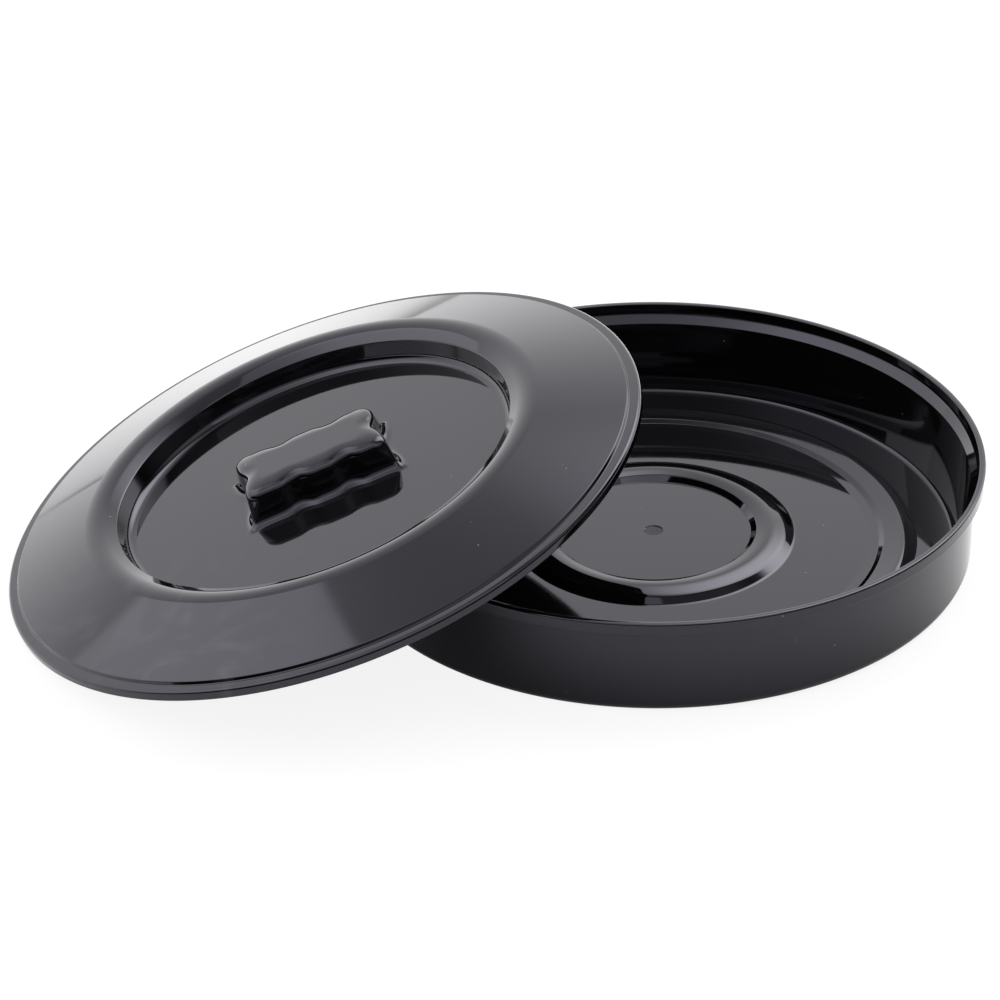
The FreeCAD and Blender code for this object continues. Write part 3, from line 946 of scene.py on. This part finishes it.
def facing(tree, ray, direction):
    """How far a ray points a given way: one along it, nought across it."""
    node = tree.nodes.new("ShaderNodeVectorMath")
    node.operation = "DOT_PRODUCT"
    tree.links.new(ray, node.inputs[0])
    node.inputs[1].default_value = direction
    return node.outputs["Value"]


def left_of(tree, ray, edge, span):
    """One to the left of an upright edge at a turn from the back, nought to its right."""
    return ramp(tree, facing(tree, ray, towards(edge - 0.5 * math.pi, 0)), span, 0.0, 1.0)


def white_light(tree, strength):
    """White light from all round, of a strength that is a number or another node's output."""
    node = tree.nodes.new("ShaderNodeBackground")
    node.inputs["Color"].default_value = (1, 1, 1, 1)
    if isinstance(strength, float):
        node.inputs["Strength"].default_value = strength
    else:
        tree.links.new(strength, node.inputs["Strength"])
    return node.outputs["Background"]


def mirrored_room(tree, s):
    """Brightness of what the gloss mirrors: backdrop, dark low front and two soft boxes."""
    ray = tree.nodes.new("ShaderNodeTexCoord").outputs["Generated"]
    split = tree.nodes.new("ShaderNodeSeparateXYZ")
    tree.links.new(ray, split.inputs["Vector"])
    up = split.outputs["Z"]
    behind = product(tree, ramp(tree, up, BACKDROP_SPAN, s.backdrop, s.backdrop_high),
                     left_of(tree, ray, s.behind_edge, BEHIND_EDGE_SPAN))
    before = ramp(tree, up, FRONT_SPAN, 0.0, s.front)
    around = mix_levels(tree, ramp(tree, split.outputs["Y"], TURN_SPAN, 0.0, 1.0), before, behind)
    in_left_box = product(tree, left_of(tree, ray, s.left_edge, LEFT_EDGE_SPAN),
                          ramp(tree, facing(tree, ray, OUT_OF_LOW_FRONT), LOW_FRONT_SPAN, 0.0, 1.0))
    sides = mix_levels(tree, in_left_box, around, ramp(tree, up, LEFT_BOX_SPAN, s.left_low, s.left_high))
    to_right_box = facing(tree, ray, towards(s.right_turn, s.right_rise))
    right = product(tree, ramp(tree, to_right_box, RIGHT_BOX_SPAN, 0.0, s.right_box),
                    left_of(tree, ray, s.right_edge, RIGHT_EDGE_SPAN))
    overhead = ramp(tree, up, ZENITH_SPAN, 1.0, s.zenith)
    return pair_up(tree, "ADD", product(tree, sides, overhead), right)


def light_room(scene, s):
    """Soft light all round; gloss mirrors the room's boxes, and the camera sees plain white."""
    world = bpy.data.worlds.new("room")
    scene.world = world
    world.use_nodes = True
    tree = world.node_tree
    tree.nodes.clear()
    direct, glossy = seen_directly(tree)
    unseen = mix_shaders(tree, glossy, white_light(tree, s.room), white_light(tree, mirrored_room(tree, s)))
    out = tree.nodes.new("ShaderNodeOutputWorld")
    tree.links.new(mix_shaders(tree, direct, unseen, white_light(tree, 1.0)), out.inputs["Surface"])


def hang_lamp(name, back, away, wide, tall, face):
    """A soft box facing the middle of the stage; mirrors see the room's own boxes instead."""
    deselect()
    bpy.ops.object.light_add(type="AREA", location=away * back,
                             rotation=back.to_track_quat("Z", "Y").to_euler())
    lamp = bpy.context.active_object
    lamp.name = lamp.data.name = name
    lamp.data.shape = "RECTANGLE"
    lamp.data.size = wide
    lamp.data.size_y = tall
    lamp.data.energy = face * math.pi * wide * tall
    lamp.visible_camera = False
    lamp.visible_glossy = False


def set_camera(scene, s):
    """Camera turned round the pan, raised, rolled and shifted."""
    deselect()
    bpy.ops.object.camera_add()
    camera = bpy.context.active_object
    turned = (Matrix.Rotation(s.azimuth, 3, "Z")
              @ Matrix.Rotation(0.5 * math.pi - s.elevation, 3, "X")
              @ Matrix.Rotation(s.roll, 3, "Z"))
    place = turned @ Vector((s.aim_right, s.aim_up, s.distance))
    camera.matrix_world = Matrix.Translation(place) @ turned.to_4x4()
    camera.data.sensor_width = SENSOR_W
    camera.data.lens = s.lens
    camera.data.clip_start = CLOSEST
    camera.data.clip_end = FARTHEST
    scene.camera = camera


class WARMER_OT_stage(Operator):
    """Set up the table, the room's light and the camera"""
    bl_idname = "warmer.make_stage"
    bl_label = "Make the stage"

    def execute(self, context):
        scene = context.scene
        s = scene.warmer_stage
        lay_table(s)
        light_room(scene, s)
        hang_lamp("soft_box_left", towards(s.left_lamp_turn, s.left_lamp_rise), s.left_lamp_away,
                  s.left_lamp_wide, s.left_lamp_tall, s.left_lamp_face)
        hang_lamp("soft_box_right", towards(s.right_turn, s.right_rise), s.right_lamp_away,
                  s.right_lamp_wide, s.right_lamp_tall, s.right_lamp_face)
        set_camera(scene, s)
        scene.view_settings.view_transform = "Standard"
        return {"FINISHED"}


class WARMER_PT_panel(Panel):
    """Makes the warmer's pieces and shows their sizes"""
    bl_idname = "WARMER_PT_panel"
    bl_label = "Tortilla warmer"
    bl_space_type = "VIEW_3D"
    bl_region_type = "UI"
    bl_category = "Warmer"

    def draw(self, context):
        for maker, groups in MAKERS:
            self.layout.operator(maker)
            for group in groups:
                settings = getattr(context.scene, group)
                column = self.layout.column(align=True)
                for name in settings.__annotations__:
                    column.prop(settings, name)


MAKERS = (
    ("warmer.make_pan", ("warmer_pan",)),
    ("warmer.make_lid", ("warmer_lid", "warmer_grip", "warmer_finish")),
    ("warmer.make_stage", ("warmer_stage",)),
)
SETTINGS = {
    "warmer_pan": PanSizes,
    "warmer_lid": LidSizes,
    "warmer_grip": GripSizes,
    "warmer_finish": Finish,
    "warmer_stage": StageSizes,
}
CLASSES = (*SETTINGS.values(), WARMER_OT_pan, WARMER_OT_lid, WARMER_OT_stage, WARMER_PT_panel)


def register():
    for cls in CLASSES:
        bpy.utils.register_class(cls)
    for name, group in SETTINGS.items():
        setattr(bpy.types.Scene, name, PointerProperty(type=group))


def unregister():
    for name in SETTINGS:
        delattr(bpy.types.Scene, name)
    for cls in reversed(CLASSES):
        bpy.utils.unregister_class(cls)


def main():
    register()
    bpy.ops.warmer.make_pan()
    bpy.ops.warmer.make_lid()
    bpy.ops.warmer.make_stage()


if __name__ == "__main__":
    main()
